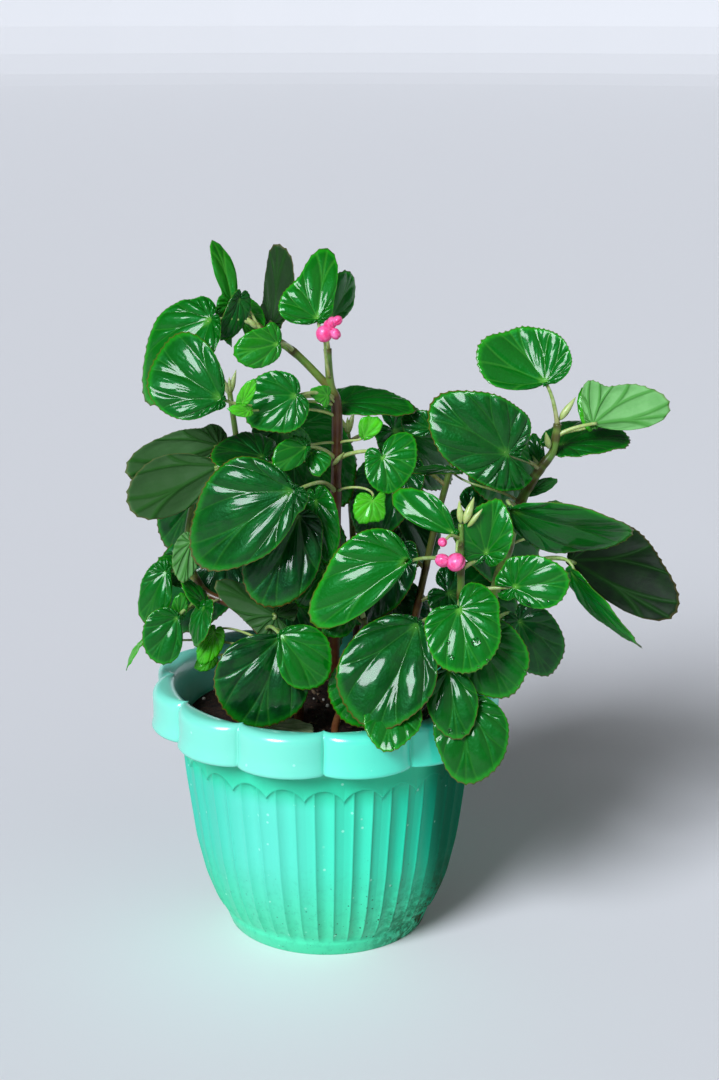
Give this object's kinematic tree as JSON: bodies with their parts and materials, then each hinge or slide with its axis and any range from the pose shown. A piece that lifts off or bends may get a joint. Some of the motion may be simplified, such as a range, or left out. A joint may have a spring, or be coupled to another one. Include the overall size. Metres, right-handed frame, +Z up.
{
  "type": "potted begonia",
  "caption": "Begonia house plant with upright leafy stems, round toothed leaves and pink flower buds, rooted in soil in a ribbed plastic pot with a scalloped rim.",
  "frame": {"origin": "middle of the pot's base, on the surface it stands on", "axes": "+Z up, -Y towards the side that the picture shows, +X to that viewer's right"},
  "size_m": [0.3137, 0.2166, 0.395],
  "materials": {
    "pot": "semi-gloss moulded mint green",
    "soil": "moist dark potting mix with bark",
    "foliage": "glossy green leaves on fleshy stems",
    "petals": "soft satin pink",
    "fallen_leaf": "dull grey green"
  },
  "bodies": {
    "root": {"pot": "pot", "soil": "soil", "main_stem": "foliage", "left_stem": "foliage", "flower_stem": "foliage", "right_stem": "foliage", "front_stem": "foliage", "corner_stem": "foliage", "back_left_stem": "foliage", "back_middle_stem": "foliage", "back_right_stem": "foliage", "upper_buds": "petals", "lower_buds": "petals", "small_bud": "petals", "fallen_leaf": "fallen_leaf"}
  },
  "joints": []
}
